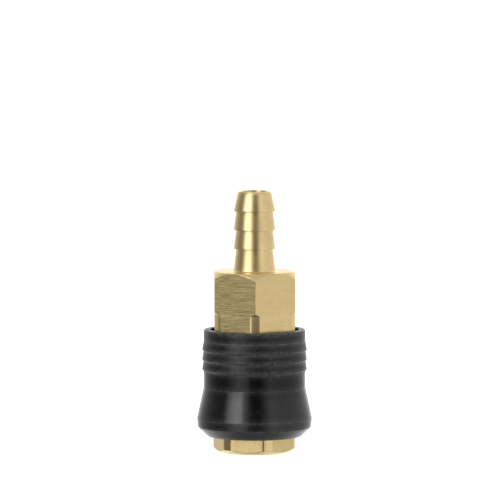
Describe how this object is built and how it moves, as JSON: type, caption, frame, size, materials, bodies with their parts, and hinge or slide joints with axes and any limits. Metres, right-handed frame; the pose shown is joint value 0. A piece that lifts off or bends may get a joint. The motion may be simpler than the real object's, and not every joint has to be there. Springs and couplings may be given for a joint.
{
  "type": "quick disconnect coupler",
  "caption": "Brass ball-lock quick disconnect coupler with a ribbed black plastic grip sleeve, wrench flats, a spring-loaded shut-off valve and a barbed hose tail.",
  "frame": {"origin": "centre of the mouth face, at the bottom of the coupler as it stands on its mouth", "axes": "+Z along the bore axis from the mouth to the hose barb; +X normal to a flat of the rear hexagon"},
  "size_m": [0.0288, 0.0288, 0.065],
  "materials": {
    "turned_brass": "turned and milled brass, satin",
    "barb_brass": "turned barb, linished hexagon flats",
    "guide_brass": "machined",
    "ring_steel": "turned, hardened",
    "washer_steel": "stamped, zinc plated",
    "spring_steel": "drawn wire",
    "ball_steel": "polished",
    "seal_rubber": "moulded nitrile rubber, slightly glossy",
    "grip_plastic": "moulded, fine satin grain"
  },
  "bodies": {
    "coupler_body": {"front_body": "turned_brass", "rear_body": "barb_brass", "body_o_ring": "seal_rubber", "spring_seat_washer": "washer_steel", "nose_seal": "seal_rubber", "valve_guide": "guide_brass", "guide_clip": "spring_steel", "sleeve_spring": "spring_steel", "valve_spring": "spring_steel"},
    "lock_ring": {"locking_ring": "ring_steel", "thrust_washer": "washer_steel"},
    "grip": {"grip_sleeve": "grip_plastic"},
    "valve": {"valve_poppet": "guide_brass", "valve_seal": "seal_rubber"},
    "ball_1": {"locking_ball_1": "ball_steel"},
    "ball_2": {"locking_ball_2": "ball_steel"},
    "ball_3": {"locking_ball_3": "ball_steel"},
    "ball_4": {"locking_ball_4": "ball_steel"},
    "ball_5": {"locking_ball_5": "ball_steel"},
    "ball_6": {"locking_ball_6": "ball_steel"}
  },
  "joints": [
    {"name": "sleeve_slide", "type": "slide", "parent": "coupler_body", "child": "lock_ring", "axis": [0, 0, 1], "range_m": [0, 0.0036], "stiffness_N_per_m": 1500, "springref_m": -0.003, "deforming": ["sleeve_spring"]},
    {"name": "sleeve_turn", "type": "hinge", "parent": "lock_ring", "child": "grip", "pos_m": [0, 0, 0.011], "axis": [0, 0, 1], "continuous": true},
    {"name": "valve_slide", "type": "slide", "parent": "coupler_body", "child": "valve", "axis": [0, 0, 1], "range_m": [0, 0.003], "stiffness_N_per_m": 600, "springref_m": -0.003, "deforming": ["valve_spring"]},
    {"name": "ball_1_slide", "type": "slide", "parent": "coupler_body", "child": "ball_1", "axis": [1, 0, 0], "range_m": [0, 0.0009]},
    {"name": "ball_2_slide", "type": "slide", "parent": "coupler_body", "child": "ball_2", "axis": [0.5, 0.866, 0], "range_m": [0, 0.0009]},
    {"name": "ball_3_slide", "type": "slide", "parent": "coupler_body", "child": "ball_3", "axis": [-0.5, 0.866, 0], "range_m": [0, 0.0009]},
    {"name": "ball_4_slide", "type": "slide", "parent": "coupler_body", "child": "ball_4", "axis": [-1, 0, 0], "range_m": [0, 0.0009]},
    {"name": "ball_5_slide", "type": "slide", "parent": "coupler_body", "child": "ball_5", "axis": [-0.5, -0.866, 0], "range_m": [0, 0.0009]},
    {"name": "ball_6_slide", "type": "slide", "parent": "coupler_body", "child": "ball_6", "axis": [0.5, -0.866, 0], "range_m": [0, 0.0009]}
  ],
  "couplings": [
    {"joint": "ball_1_slide", "follows": "sleeve_slide", "ratio": 0.25},
    {"joint": "ball_2_slide", "follows": "sleeve_slide", "ratio": 0.25},
    {"joint": "ball_3_slide", "follows": "sleeve_slide", "ratio": 0.25},
    {"joint": "ball_4_slide", "follows": "sleeve_slide", "ratio": 0.25},
    {"joint": "ball_5_slide", "follows": "sleeve_slide", "ratio": 0.25},
    {"joint": "ball_6_slide", "follows": "sleeve_slide", "ratio": 0.25}
  ]
}
